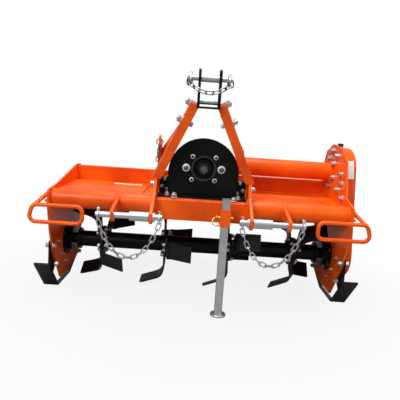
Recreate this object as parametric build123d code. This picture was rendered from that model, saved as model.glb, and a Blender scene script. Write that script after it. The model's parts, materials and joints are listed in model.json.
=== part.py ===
"""Rotary tiller for a tractor's three-point hitch, about 1.2 m wide.

Millimetres. +X is to the right as seen from the tractor, +Y points away from the tractor, +Z is up.
Everything is modelled about the rotor's axis at y = 0 and moved by ROW_SHIFT_Y as it is written,
so that the origin lies on the ground under the middle of the machine.
"""
from build123d import *
import math
import os

ROW_SHIFT_Y = -40.0

# Rotor and its tines
ROTOR_Z = 195.0
ROTOR_R = 36.0
ROTOR_HALF = 548.0
STUB_R = 24.0
STUB_HALF = 598.0
FLANGE_X = (-436.0, -144.0, 148.0, 440.0)
FLANGE_R = 64.0
FLANGE_T = 10.0
TINE_T = 8.0
TINE_BEND_Z = 138.0
TINE_FLARE_DEG = 20.0
TINE_BEND_R = 46.0
TINE_REACH = 116.0
TINE_TIP_R = 187.0
TINES_PER_FLANGE = 4
FIRST_TINE_DEG = 120.0
FLANGE_STEP_DEG = 22.5

# Body: side plates, front tube, deck
PLATE_IN = 604.0
PLATE_T = 8.0
TUBE_Y, TUBE_Z, TUBE_R, TUBE_WALL = -213.0, 416.0, 38.0, 5.0
DECK_TOP = 448.0
SHEET_T = 4.0
HOOD_KNEE_Y = 178.0
HOOD_END = (232.0, 330.0)
UPSTAND_Y = 160.0
UPSTAND_T = 6.0
UPSTAND_TOP = 516.0
UPSTAND_LIP = 36.0
COVER_X = (-575.0, -245.0)
COVER_END_Y, COVER_TOP = 80.0, 454.0
CAP_R, CAP_T = 62.0, 14.0

# Drive line: gearbox, power shaft, cross tube, chain case
SHAFT_Z = 570.0
DRIVE_Y = 87.0
DRIVE_R = 42.0
CASE_TOP_R = 115.0
CASE_LOW_R = 100.0
CASE_OUT = 690.0
GUARD_Y = -195.0
GUARD_T = 5.0
GUARD_R = 145.0
GUARD_Z = 547.0
GUARD_LOW = 455.0
GUARD_LOW_HALF = 134.0
GUARD_RIM = 70.0
YOKE_HOLE_R = 46.0
PTO_R = 17.45
PTO_ROOT_R = 14.7
PTO_KEY = 8.7
PTO_KEYS = 6
PTO_TIP_Y = -232.0

# Hitch: lower pins, brackets, mast and top pin
PIN_Y, PIN_Z = -355.0, 389.0
SHANK_R, SEAT_R, PIN_END_R = 11.5, 11.0, 10.6
PIN_IN, PIN_OUT = 146.0, 399.0
SEAT_X = (342.5, 379.5)
CLIP_INSET = 11.0
CLIP_HOLE_R = 5.5
INNER_X, INNER_T = 184.0, 12.0
OUTER_X, OUTER_T = 329.5, 12.0
BUSH_R = 18.25
BUSH_LENGTH = 74.0
BRACKET_TOP = 520.0
FRONT_PLATE_T = 8.0
MAST_FOOT = (193.0, -186.0, 520.0)
MAST_HEAD = (51.0, -270.0, 824.0)
MAST_W, MAST_D, MAST_WALL, MAST_PLUG = 34.0, 60.0, 4.0, 60.0
EAR_IN, EAR_T = 34.0, 10.0
EAR_Y = -288.0
EAR_TOP, EAR_LOW = 949.0, 806.0
TOP_PIN_Z, TOP_PIN_R = 915.0, 9.5
TOP_PIN_HALF = 84.0
TOP_BUSH_R = 12.7
BRACE_TOP = (53.0, -232.0, 806.0)
BRACE_FOOT = (188.0, 84.0, 612.0)
BRACE_T, BRACE_W = 10.0, 50.0
POST_X = 196.0
FIT = 0.1

# Parking stand
LEG_X, LEG_Y, LEG_W, LEG_WALL = 92.0, -320.0, 30.0, 3.0
LEG_TOP = 470.0
FOOT_R, FOOT_T = 31.0, 8.0
COLLAR_LOW, COLLAR_TOP, COLLAR_WALL, COLLAR_GAP = 364.0, 430.0, 4.0, 1.0
LOCK_R, LOCK_Z, LOCK_PITCH, LOCK_HOLES = 6.5, 397.0, 125.0, 3

# Skids, side hoops and tailboard
SKID_W, SKID_T, RUNNER_W = 64.0, 8.0, 16.0
HOOP_Y, HOOP_ROD, HOOP_BEND = -298.0, 8.0, 24.0
HOOP_IN, HOOP_OUT = 463.0, 676.0
HOOP_LOW, HOOP_TOP = 331.0, 399.0
HINGE_Y, HINGE_Z, HINGE_R = 252.0, 322.0, 6.0
BOARD_ANGLE = -20.0
BOARD_LENGTH = 206.0
BOARD_HALF = 596.0

# Chains, and the rings on the pins that hold their ends
LINK_WIRE, LINK_IN, LINK_GAP = 4.0, 27.0, 1.2
LINK_WIDE = 11.0
RING_R = 20.0
RING_SLACK = 0.3
RING_CLEAR = 1.0
RING_SIDES = 16
LOWER_LINKS = 15
TOP_LINKS = 7

nodes = {}


def save(name, *solids):
    """Keep the solids of one node, moved to the row's origin."""
    moved = [Pos(0, ROW_SHIFT_Y, 0) * solid for solid in solids]
    nodes[name] = moved


def slab_x(points, x0, x1):
    """Outline in Y, Z, extruded along X from x0 to x1."""
    face = make_face(Polyline(*points, close=True))
    return extrude(Plane.YZ.offset(x0) * face, amount=x1 - x0)


def slab_y(points, y0, y1):
    """Outline in X, Z, extruded along Y from y0 to y1."""
    face = make_face(Polyline(*points, close=True))
    return extrude(Plane.XZ.offset(-y0) * face, amount=-(y1 - y0))


def rod(start, end, radius):
    """Round bar from one point to another."""
    span = Vector(*end) - Vector(*start)
    plane = Plane(origin=start, z_dir=span)
    return plane * Cylinder(radius, span.length, align=(Align.CENTER, Align.CENTER, Align.MIN))


def rod_x(x0, x1, y, z, radius):
    """Round bar along X."""
    return rod((x0, y, z), (x1, y, z), radius)


def bent_rod(points, radius, bend):
    """Round bar along straight runs joined by arcs."""
    line = FilletPolyline(*points, radius=bend)
    start = Plane(origin=line @ 0, z_dir=line % 0)
    return sweep(start * Circle(radius), path=line)


def mirror_x(solid):
    """The same piece on the other side of the machine."""
    return mirror(solid, about=Plane.YZ)


def box_between(low, high):
    """Box from its lowest to its highest corner."""
    size = [b - a for a, b in zip(low, high)]
    return Pos(*low) * Box(*size, align=(Align.MIN, Align.MIN, Align.MIN))


# ---------------------------------------------------------------- rotor

def tine(side):
    """L-shaped tine about a flange at x = 0: +Z is outwards, the foot flares out towards side.

    A flat bar is bent over a wide radius, and a sickle outline is cut through it.
    """
    mid = FLANGE_T / 2 + TINE_T / 2
    rise = (TINE_REACH + 20 - mid) * math.tan(math.radians(TINE_FLARE_DEG))
    strip = FilletPolyline((mid, 0, 30), (mid, 0, TINE_BEND_Z), (TINE_REACH + 20, 0, TINE_BEND_Z + rise),
                           radius=TINE_BEND_R)
    section = Plane(origin=strip @ 0, z_dir=strip % 0, x_dir=(1, 0, 0)) * Rectangle(TINE_T, 200)
    bent = sweep(section, path=strip)
    edge = [Line((-24, 36), (24, 36)), Line((24, 36), (27, 78)),
            ThreePointArc((27, 78), (38, 112), (62, 134)), Line((62, 134), (62, 220)),
            Line((62, 220), (-12, 220)), Line((-12, 220), (-12, 150)),
            ThreePointArc((-12, 150), (-25, 118), (-27, 78)), Line((-27, 78), (-24, 36))]
    outline = extrude(Plane.YZ.offset(-1) * make_face(edge), amount=TINE_REACH + 1)
    blade = (bent & outline & rod_x(-1, TINE_REACH, 0, 0, TINE_TIP_R)).solid()
    holes = [rod_x(0, 20, y, 52, 6.0) for y in (-13, 13)]
    blade = blade - holes[0] - holes[1]
    return blade if side > 0 else mirror_x(blade)


def rotor():
    """Rotor tube with its end stubs and four tine flanges, and the tines on each flange."""
    shaft = rod_x(-ROTOR_HALF, ROTOR_HALF, 0, ROTOR_Z, ROTOR_R)
    shaft += rod_x(-STUB_HALF, STUB_HALF, 0, ROTOR_Z, STUB_R)
    for x in (-ROTOR_HALF, ROTOR_HALF - FLANGE_T):
        shaft += rod_x(x, x + FLANGE_T, 0, ROTOR_Z, 48.0)
    save("rotor_shaft", shaft.solid())
    for number, x in enumerate(FLANGE_X, start=1):
        disc = rod_x(x - FLANGE_T / 2, x + FLANGE_T / 2, 0, ROTOR_Z, FLANGE_R)
        disc -= rod_x(x - FLANGE_T, x + FLANGE_T, 0, ROTOR_Z, ROTOR_R)
        start = FIRST_TINE_DEG - (number - 1) * FLANGE_STEP_DEG
        spots = []
        for index in range(TINES_PER_FLANGE):
            side = 1 if index % 2 == 0 else -1
            turn = start + index * 360.0 / TINES_PER_FLANGE
            spots.append((side, turn))
        blades = [Pos(x, 0, ROTOR_Z) * Rot(turn, 0, 0) * tine(side) for side, turn in spots]
        save(f"tine_flange_{number}", disc.solid())
        save(f"tine_set_{number}", *blades)


# ---------------------------------------------------------------- body

LEFT_OUTLINE = [(-266, 455), (-150, 466), (139, 522), (196, 522), (236, 470), (262, 330),
                (240, 170), (200, 84), (60, 36), (-95, 36), (-208, 192), (-241, 285), (-266, 393)]
RIGHT_OUTLINE = [(-266, 455), (-172, 478), (-120, 632), (-52, 684), (72, 700), (172, 664),
                 (222, 560), (262, 330), (240, 170), (200, 84), (60, 36), (-95, 36), (-208, 192),
                 (-241, 285), (-266, 393)]


def side_plates():
    """The two end plates of the body; the right one rises to carry the chain case."""
    stub_hole = rod_x(-700, 700, 0, ROTOR_Z, STUB_R + 1.0)
    left = slab_x(LEFT_OUTLINE, -PLATE_IN - PLATE_T, -PLATE_IN)
    right = slab_x(RIGHT_OUTLINE, PLATE_IN, PLATE_IN + PLATE_T)
    plates = []
    for plate in (left, right):
        corners = plate.edges().filter_by(Axis.X).sort_by(Axis.Z)
        plates.append(fillet(corners[2:], 14) - stub_hole)
    save("side_plate_left", plates[0].solid())
    save("side_plate_right", plates[1].solid())
    cap = rod_x(PLATE_IN + PLATE_T, PLATE_IN + PLATE_T + CAP_T, 0, ROTOR_Z, CAP_R)
    cap = fillet(cap.edges().filter_by(GeomType.CIRCLE).sort_by(Axis.X)[-1:], 5)
    cap += rod_x(PLATE_IN + PLATE_T, PLATE_IN + PLATE_T + CAP_T + 6, 0, ROTOR_Z, 26.0)
    save("bearing_cap", mirror_x(cap).solid())
    housing = rod_x(STUB_HALF - 26, PLATE_IN, 0, ROTOR_Z, 54.0)
    housing += rod_x(PLATE_IN - 8, PLATE_IN, 0, ROTOR_Z, 74.0)
    housing -= rod_x(500, 700, 0, ROTOR_Z, STUB_R + 0.5)
    save("rotor_bearings", housing.solid(), mirror_x(housing).solid())


def front_tube():
    """Round tube across the front of the body."""
    tube = rod_x(-PLATE_IN, PLATE_IN, TUBE_Y, TUBE_Z, TUBE_R)
    tube -= rod_x(-700, 700, TUBE_Y, TUBE_Z, TUBE_R - TUBE_WALL)
    save("front_tube", tube.solid())


def tube_cut():
    """What a piece that sits on the front tube loses to it."""
    return rod_x(-700, 700, TUBE_Y, TUBE_Z, TUBE_R)


def hood():
    """Bent sheet over the rotor, the angle that stands up along its back, and the cover plate on its left."""
    mid = DECK_TOP - SHEET_T / 2
    path = FilletPolyline((0, TUBE_Y + 10, mid), (0, HOOD_KNEE_Y, mid), (0, *HOOD_END), radius=40)
    section = Plane(origin=path @ 0, z_dir=path % 0, x_dir=(1, 0, 0)) * Rectangle(2 * PLATE_IN, SHEET_T)
    sheet = sweep(section, path=path) - tube_cut()
    save("hood", sheet.solids().sort_by(SortBy.VOLUME)[-1])
    leg = [(UPSTAND_Y - UPSTAND_T, DECK_TOP), (UPSTAND_Y, DECK_TOP),
           (UPSTAND_Y, UPSTAND_TOP - UPSTAND_T), (UPSTAND_Y + UPSTAND_LIP, UPSTAND_TOP - UPSTAND_T),
           (UPSTAND_Y + UPSTAND_LIP, UPSTAND_TOP), (UPSTAND_Y - UPSTAND_T, UPSTAND_TOP)]
    save("rear_beam", slab_x(leg, -PLATE_IN, PLATE_IN).solid())
    cover = box_between((COVER_X[0], TUBE_Y + 12, DECK_TOP), (COVER_X[1], COVER_END_Y, COVER_TOP))
    cover = fillet(cover.edges().filter_by(Axis.Z).sort_by(Axis.Y)[-2:], 12) - tube_cut()
    save("deck_cover", cover.solid())


# ---------------------------------------------------------------- drive line

def gearbox():
    """Cast gearbox: rounded block, front neck, side flanges and rear cover."""
    block = box_between((-92, -62, 464), (92, 138, 660))
    block = fillet(block.edges(), 22)
    neck = rod((0, -40, SHAFT_Z), (0, GUARD_Y + GUARD_T, SHAFT_Z), 68.0)
    case = block + neck
    case += rod_x(-114, -90, DRIVE_Y - 40, SHAFT_Z, 70.0)
    case += rod_x(90, 112, DRIVE_Y - 20, SHAFT_Z, 74.0)
    case += rod((0, 136, SHAFT_Z), (0, 150, SHAFT_Z), 58.0)
    for x in (-60, 0, 60):
        case += box_between((x - 5, -50, 640), (x + 5, 126, 668))
    case -= rod((0, -134, SHAFT_Z), (0, -240, SHAFT_Z), YOKE_HOLE_R)
    case -= rod((0, -100, SHAFT_Z), (0, -240, SHAFT_Z), 20.0)
    feet = [box_between((x - 26, -46, DECK_TOP), (x + 26, 122, DECK_TOP + 22)) for x in (-62, 62)]
    save("gearbox", case.solid())
    save("gearbox_feet", *[(foot - case).solids().sort_by(SortBy.VOLUME)[-1] for foot in feet])
    plug = rod((0, 40, 668), (0, 40, 680), 13.0)
    case_plug = rod((650, 120, SHAFT_Z + 106), (650, 120, SHAFT_Z + 134), 13.0)
    save("filler_plugs", plug.solid(), (case_plug - case_shape()).solids().sort_by(Axis.Z)[-1])


def pto_shaft():
    """Power shaft with six splines and its locking groove."""
    root = rod((0, -104, SHAFT_Z), (0, -140, SHAFT_Z), 19.5)
    core = rod((0, -138, SHAFT_Z), (0, PTO_TIP_Y, SHAFT_Z), PTO_ROOT_R)
    keys = []
    for index in range(PTO_KEYS):
        key = box_between((-PTO_KEY / 2, PTO_TIP_Y, 0), (PTO_KEY / 2, -138, PTO_R + 2))
        keys.append(Pos(0, 0, SHAFT_Z) * Rot(0, index * 360.0 / PTO_KEYS, 0) * key)
    limit = rod((0, -138, SHAFT_Z), (0, PTO_TIP_Y, SHAFT_Z), PTO_R)
    groove_mid = PTO_TIP_Y + 38
    groove = rod((0, groove_mid - 4, SHAFT_Z), (0, groove_mid + 4, SHAFT_Z), PTO_R + 4)
    groove -= rod((0, groove_mid - 4, SHAFT_Z), (0, groove_mid + 4, SHAFT_Z), PTO_ROOT_R)
    splines = core
    for key in keys:
        splines += key & limit
    splines -= groove
    save("pto_shaft", (splines + root).solid())


def guard():
    """Arched guard in front of the gearbox: a flat face with a rim turned back along its edge."""
    def arch(radius, low_half, low):
        start, end = (-low_half, low), (low_half, low)
        left, right = (-radius, GUARD_Z), (radius, GUARD_Z)
        edges = [Line(start, left), ThreePointArc(left, (0, GUARD_Z + radius), right),
                 Line(right, end), Line(end, start)]
        return make_face(edges)
    plane = Plane.XZ.offset(-GUARD_Y)
    shell = extrude(plane * arch(GUARD_R, GUARD_LOW_HALF, GUARD_LOW), amount=-GUARD_RIM)
    hollow_plane = Plane.XZ.offset(-(GUARD_Y + GUARD_T))
    inner = arch(GUARD_R - 3, GUARD_LOW_HALF - 3, GUARD_LOW - 5)
    shell -= extrude(hollow_plane * inner, amount=-GUARD_RIM)
    shell -= rod((0, -400, SHAFT_Z), (0, 0, SHAFT_Z), YOKE_HOLE_R)
    save("pto_guard", shell.solid())


def case_face(grow):
    """Outline of the chain case: two sprocket circles and their common tangents."""
    top = Pos(DRIVE_Y, SHAFT_Z) * Circle(CASE_TOP_R + grow)
    low = Pos(0, ROTOR_Z) * Circle(CASE_LOW_R + grow)
    return make_hull(top.edges() + low.edges())


def case_shape():
    """Chain case with a rolled outer edge, on a wider flange."""
    flange = extrude(Plane.YZ.offset(PLATE_IN + PLATE_T) * case_face(14), amount=8)
    body = extrude(Plane.YZ.offset(PLATE_IN + PLATE_T) * case_face(0), amount=CASE_OUT - PLATE_IN - PLATE_T)
    outer = body.faces().sort_by(Axis.X)[-1]
    body = fillet(outer.edges(), 16)
    boss = rod_x(CASE_OUT - 1, CASE_OUT + 4, 0, ROTOR_Z, 52.0)
    return body + flange + boss


def drive():
    """Cross tube from the gearbox to the chain case, and the case itself."""
    tube = rod_x(112, PLATE_IN, DRIVE_Y, SHAFT_Z, DRIVE_R)
    tube += rod_x(112, 124, DRIVE_Y, SHAFT_Z, 66.0)
    tube += rod_x(PLATE_IN - 6, PLATE_IN, DRIVE_Y, SHAFT_Z, 54.0)
    save("drive_tube", tube.solid())
    save("chain_case", case_shape().solid())


# ---------------------------------------------------------------- hitch

def inner_brackets():
    """Plates that carry the mast's feet and the inner ends of the lower pins."""
    outline = [(-376, 372), (-352, 362), (-240, 388), (-213, 416), (-185, DECK_TOP),
               (-146, DECK_TOP), (-146, BRACKET_TOP), (-232, BRACKET_TOP), (-262, 470), (-376, 406)]
    plate = slab_x(outline, INNER_X, INNER_X + INNER_T)
    nose = plate.edges().filter_by(Axis.X).sort_by(Axis.Y)[0:2]
    plate = fillet(nose, 10) - tube_cut()
    plate -= box_between((100, TUBE_Y, 380), (300, 0, DECK_TOP))
    plate -= rod_x(100, 300, PIN_Y, PIN_Z, SHANK_R + FIT)
    plate = plate.solids().sort_by(SortBy.VOLUME)[-1]
    save("inner_bracket_left", mirror_x(plate))
    save("inner_bracket_right", plate)


def outer_brackets():
    """Plates off the front tube that carry the outer ends of the lower pins."""
    outline = [(-376, 374), (-352, 362), (-262, 388), (-213, 400), (-213, 434), (-254, 436), (-376, 408)]
    plate = slab_x(outline, OUTER_X, OUTER_X + OUTER_T)
    nose = plate.edges().filter_by(Axis.X).sort_by(Axis.Y)[0:2]
    plate = fillet(nose, 10) - tube_cut()
    plate -= rod_x(300, 380, PIN_Y, PIN_Z, SHANK_R + FIT)
    plate = plate.solids().sort_by(SortBy.VOLUME)[-1]
    save("outer_brackets", plate, mirror_x(plate))


def lower_pins():
    """Hitch pins with a turned seat outside the bracket, a collar at the inner end, and the bushes on them."""
    pin = rod_x(PIN_IN, SEAT_X[0], PIN_Y, PIN_Z, SHANK_R)
    pin += rod_x(SEAT_X[0], SEAT_X[1], PIN_Y, PIN_Z, SEAT_R)
    pin += rod_x(SEAT_X[1], PIN_OUT, PIN_Y, PIN_Z, PIN_END_R)
    ends = pin.edges().filter_by(GeomType.CIRCLE).sort_by(Axis.X)
    pin = chamfer([ends[0], ends[-1]], 2)
    pin += rod_x(INNER_X - 8, INNER_X - 1, PIN_Y, PIN_Z, SHANK_R + 6)
    for x in (PIN_OUT - CLIP_INSET, PIN_IN + CLIP_INSET):
        pin -= rod((x, PIN_Y, PIN_Z - 30), (x, PIN_Y, PIN_Z + 30), CLIP_HOLE_R)
    save("lower_pin_left", mirror_x(pin).solid())
    save("lower_pin_right", pin.solid())
    start = INNER_X + INNER_T + 1
    bush = rod_x(start, start + BUSH_LENGTH, PIN_Y, PIN_Z, BUSH_R)
    bush = chamfer(bush.edges().filter_by(GeomType.CIRCLE), 1.5)
    bush -= rod_x(start - 1, start + BUSH_LENGTH + 1, PIN_Y, PIN_Z, SHANK_R + FIT)
    save("pin_bushes", bush.solid(), mirror_x(bush).solid())


def front_plate():
    """Flat plate that joins the inner brackets in front of the tube."""
    y0 = TUBE_Y - TUBE_R - FRONT_PLATE_T
    plate = box_between((-INNER_X, y0, 364), (INNER_X, y0 + FRONT_PLATE_T, 442))
    save("front_plate", plate)


def mast_arm():
    """Rectangular tube from the bracket up to the mast head, cut flat at its foot and plugged at its top."""
    foot, head = Vector(*MAST_FOOT), Vector(*MAST_HEAD)
    along = (head - foot).normalized()
    across = (Vector(1, 0, 0) - along * along.X).normalized()
    plane = Plane(origin=foot - along * 40, x_dir=across, z_dir=along)
    length = (head - foot).length + 40
    bore = extrude(Rectangle(MAST_W - 2 * MAST_WALL, MAST_D - 2 * MAST_WALL), amount=length - MAST_PLUG)
    arm = plane * (extrude(Rectangle(MAST_W, MAST_D), amount=length) - bore)
    keep = box_between((0, -500, BRACKET_TOP), (400, 0, 1000))
    return arm & keep


def mast():
    """The two mast arms, the head with its ears, the top pin with its bush, and the rear braces."""
    arm = mast_arm().solid()
    ear_line = [(EAR_Y - 26, EAR_LOW), (EAR_Y + 30, EAR_LOW), (EAR_Y + 34, 840), (EAR_Y + 22, EAR_TOP),
                (EAR_Y - 22, EAR_TOP), (EAR_Y - 26, 840)]
    ear = slab_x(ear_line, EAR_IN, EAR_IN + EAR_T)
    ear = fillet(ear.edges().filter_by(Axis.X).sort_by(Axis.Z)[-2:], 12)
    head = ear + mirror_x(ear)
    head += box_between((-EAR_IN - 1, EAR_Y - 22, EAR_LOW), (EAR_IN + 1, EAR_Y + 28, EAR_LOW + 6))
    head -= rod_x(-100, 100, EAR_Y, TOP_PIN_Z, TOP_PIN_R + FIT)
    arm -= head
    arm = arm.solids().sort_by(SortBy.VOLUME)[-1]
    save("mast_head", head.solid())
    save("head_spacer", rod_x(-EAR_IN, EAR_IN, EAR_Y, EAR_LOW + 24, 9.5).solid())
    save("mast_arm_left", mirror_x(arm))
    save("mast_arm_right", arm)
    pin = rod_x(-TOP_PIN_HALF, TOP_PIN_HALF, EAR_Y, TOP_PIN_Z, TOP_PIN_R)
    pin += rod_x(-TOP_PIN_HALF, -TOP_PIN_HALF + 8, EAR_Y, TOP_PIN_Z, TOP_PIN_R + 6)
    save("top_pin", pin.solid())
    bush = rod_x(-EAR_IN + 0.5, EAR_IN - 0.5, EAR_Y, TOP_PIN_Z, TOP_BUSH_R)
    bush -= rod_x(-EAR_IN, EAR_IN, EAR_Y, TOP_PIN_Z, TOP_PIN_R + FIT)
    save("top_bush", bush.solid())
    braces(head, arm)


def braces(head, arm):
    """Flat bars from the mast head back to the drive tube, and to a post on the deck at the left."""
    top, foot = Vector(*BRACE_TOP), Vector(*BRACE_FOOT)
    along = (foot - top).normalized()
    across = (Vector(1, 0, 0) - along * along.X).normalized()
    plane = Plane(origin=top, x_dir=across, z_dir=along)
    bar = plane * extrude(Rectangle(BRACE_T, BRACE_W), amount=(foot - top).length + 40)
    bar = bar - head - arm
    right = bar - rod_x(0, 600, DRIVE_Y, SHAFT_Z, DRIVE_R)
    right &= box_between((0, -400, SHAFT_Z), (400, DRIVE_Y, 1000))
    left = bar & box_between((0, -400, SHAFT_Z), (POST_X, DRIVE_Y + 30, 1000))
    save("rear_brace_left", mirror_x(left.solids().sort_by(SortBy.VOLUME)[-1]))
    save("rear_brace_right", right.solids().sort_by(SortBy.VOLUME)[-1])
    outline = [(8, DECK_TOP), (128, DECK_TOP), (128, 600), (96, 650), (16, 690), (0, 682), (0, 600)]
    post = slab_x(outline, -POST_X - BRACE_T, -POST_X)
    foot_plate = box_between((-POST_X, 8, DECK_TOP), (-POST_X + 40, 128, DECK_TOP + 8))
    save("brace_post", (post + foot_plate).solid())


# ---------------------------------------------------------------- stand, skids, hoops, tailboard

def stand():
    """Parking stand: square leg with holes for its lock pin, in a collar, with a round foot."""
    half = LEG_W / 2
    leg = box_between((LEG_X - half, LEG_Y - half, FOOT_T), (LEG_X + half, LEG_Y + half, LEG_TOP))
    inside = half - LEG_WALL
    leg -= box_between((LEG_X - inside, LEG_Y - inside, FOOT_T + 6), (LEG_X + inside, LEG_Y + inside, LEG_TOP + 1))
    for index in range(LOCK_HOLES):
        leg -= rod_x(0, 2 * LEG_X, LEG_Y, LOCK_Z - index * LOCK_PITCH, LOCK_R)
    save("stand_leg", leg.solid())
    foot = rod((LEG_X, LEG_Y, 0), (LEG_X, LEG_Y, FOOT_T), FOOT_R)
    foot = fillet(foot.edges().sort_by(Axis.Z)[-1:], 3)
    save("stand_foot", foot.solid())
    gap = half + COLLAR_GAP
    out = gap + COLLAR_WALL
    collar = box_between((LEG_X - out, LEG_Y - out, COLLAR_LOW), (LEG_X + out, LEG_Y + out, COLLAR_TOP))
    face = TUBE_Y - TUBE_R - FRONT_PLATE_T
    for x in (LEG_X - out, LEG_X + out - COLLAR_WALL):
        collar += box_between((x, LEG_Y, COLLAR_LOW), (x + COLLAR_WALL, face, COLLAR_TOP))
    collar -= box_between((LEG_X - gap, LEG_Y - gap, 0), (LEG_X + gap, LEG_Y + gap, 600))
    collar -= rod_x(0, 2 * LEG_X, LEG_Y, LOCK_Z, LOCK_R)
    save("stand_collar", collar.solid())


def skids():
    """Skid shoe under each side plate: a wide nose, a narrow runner and two bolted tabs."""
    x0 = PLATE_IN + PLATE_T
    nose = [(-105, 0), (-232, 133), (-226, 139), (-101, 8), (-97, 0)]
    run = [(-105, 0), (75, 0), (206, 58), (203, 65), (73, 8), (-101, 8)]
    shoe = slab_x(nose, x0, x0 + SKID_W) + slab_x(run, x0, x0 + RUNNER_W)
    front_tab = [(-226, 130), (-222, 232), (-190, 232), (-150, 110), (-176, 84)]
    rear_tab = [(150, 36), (142, 128), (196, 128), (206, 62)]
    shoe += slab_x(front_tab, x0, x0 + 6)
    shoe += slab_x(rear_tab, x0, x0 + 6)
    flange_cut = extrude(Plane.YZ.offset(x0 - 1) * case_face(15), amount=12)
    save("skid_left", mirror_x(shoe).solid())
    save("skid_right", (shoe - flange_cut).solids().sort_by(SortBy.VOLUME)[-1])


def hoops():
    """Round-bar hoops out in front of the side plates."""
    mid = (HOOP_IN + HOOP_OUT) / 2
    outer = bent_rod([(mid, HOOP_Y, HOOP_TOP), (HOOP_OUT - 20, HOOP_Y, HOOP_TOP),
                      (HOOP_OUT, HOOP_Y, HOOP_LOW), (mid, HOOP_Y, HOOP_LOW)], HOOP_ROD, HOOP_BEND)
    inner = bent_rod([(mid, HOOP_Y, HOOP_LOW), (HOOP_IN, HOOP_Y, HOOP_LOW),
                      (HOOP_IN, HOOP_Y, HOOP_TOP), (mid, HOOP_Y, HOOP_TOP)], HOOP_ROD, HOOP_BEND)
    ring = outer + inner
    tail = rod((HOOP_OUT - 26, HOOP_Y, HOOP_TOP - 2), (PLATE_IN + PLATE_T + 4, -175, 446), HOOP_ROD)
    plate_face = box_between((PLATE_IN, -268, 300), (PLATE_IN + PLATE_T, 0, 600))
    hoop = ring + tail - plate_face
    hoop = hoop.solids().sort_by(SortBy.VOLUME)[-1]
    save("side_hoop_left", mirror_x(hoop))
    save("side_hoop_right", hoop)


def tailboard():
    """Levelling board hinged along the hood's rear edge, and the rod that it turns on."""
    save("tailboard_rod", rod_x(-PLATE_IN, PLATE_IN, HINGE_Y, HINGE_Z, HINGE_R))
    line = FilletPolyline((0, 9, 0), (0, BOARD_LENGTH - 44, 0), (0, BOARD_LENGTH, -16), radius=30)
    section = Plane(origin=line @ 0, z_dir=line % 0, x_dir=(1, 0, 0)) * Rectangle(2 * BOARD_HALF, SHEET_T)
    board = sweep(section, path=line)
    for x in (-590, -300, -30, 240, 530):
        board += rod_x(x, x + 60, 0, 0, HINGE_R + 4)
    board -= rod_x(-650, 650, 0, 0, HINGE_R + 0.3)
    for x in (-300, 292):
        board += box_between((x, 40, 1), (x + 8, BOARD_LENGTH - 50, 22))
    board += box_between((-232, BOARD_LENGTH - 60, 1), (-226, BOARD_LENGTH - 30, 30))
    placed = Pos(0, HINGE_Y, HINGE_Z) * Rot(BOARD_ANGLE, 0, 0) * board
    save("tailboard", placed.solid())


# ---------------------------------------------------------------- chains

def link():
    """One chain link along Z, flat in X and Z."""
    def ring(half_wide, half_long):
        cut = half_wide * 0.6
        pts = [(half_wide, half_long - cut), (half_wide - cut, half_long), (cut - half_wide, half_long),
               (-half_wide, half_long - cut), (-half_wide, cut - half_long), (cut - half_wide, -half_long),
               (half_wide - cut, -half_long), (half_wide, cut - half_long)]
        return make_face(Polyline(*pts, close=True))
    wide, long = LINK_WIDE / 2, LINK_IN / 2
    outer = ring(wide + LINK_WIRE, long + LINK_WIRE)
    body = extrude(Plane.XZ * (outer - ring(wide, long)), amount=LINK_WIRE / 2, both=True)
    return body


def catenary(span, sag):
    """Parameter of the hanging curve with this span and sag."""
    low, high = span / 20, span * 200
    for _ in range(80):
        mid = math.sqrt(low * high)
        if mid * (math.cosh(span / 2 / mid) - 1) > sag:
            low = mid
        else:
            high = mid
    return mid


def hanging_line(end, y_mid, sag):
    """Points along a hanging curve between x = -end.X and end.X, led from the ends' y to y_mid."""
    a = catenary(2 * end.X, sag)
    points = []
    for step in range(401):
        x = end.X * (step / 200 - 1)
        z = end.Z - sag + a * (math.cosh(x / a) - 1)
        points.append(Vector(x, y_mid + (end.Y - y_mid) * abs(x / end.X) ** 4, z))
    return points


def hanging_chain(end, y_mid, count, normal):
    """A chain of count links from -end.X to end.X. The end links lie square to normal, the wire that they hook."""
    pitch = LINK_IN - LINK_GAP
    inset = LINK_IN / 2 - 0.82 * LINK_WIRE
    length = (count - 1) * pitch + 2 * inset
    low, high = 1.0, 3 * end.X
    for _ in range(40):
        sag = (low + high) / 2
        line = hanging_line(end, y_mid, sag)
        if sum((q - p).length for p, q in zip(line, line[1:])) < length:
            low = sag
        else:
            high = sag
    links, target, run = [], inset, 0.0
    for p, q in zip(line, line[1:]):
        step = (q - p).length
        while len(links) < count and run + step >= target:
            along = (q - p).normalized()
            flat = Plane(origin=p + along * (target - run), x_dir=normal.cross(along), z_dir=along)
            links.append(flat * Rot(0, 0, 90 * (len(links) % 2)) * link())
            target += pitch
        run += step
    return links


def pin_ring(x, y, z):
    """Ring of square wire that hangs on a pin, seen square along X; z is the ring's middle."""
    half = LINK_WIRE / 2
    wire = RegularPolygon(RING_R + half, RING_SIDES) - RegularPolygon(RING_R - half, RING_SIDES)
    return extrude(Plane(origin=(x, y, z), z_dir=(1, 0, 0)) * wire, amount=half, both=True).solid()


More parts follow.
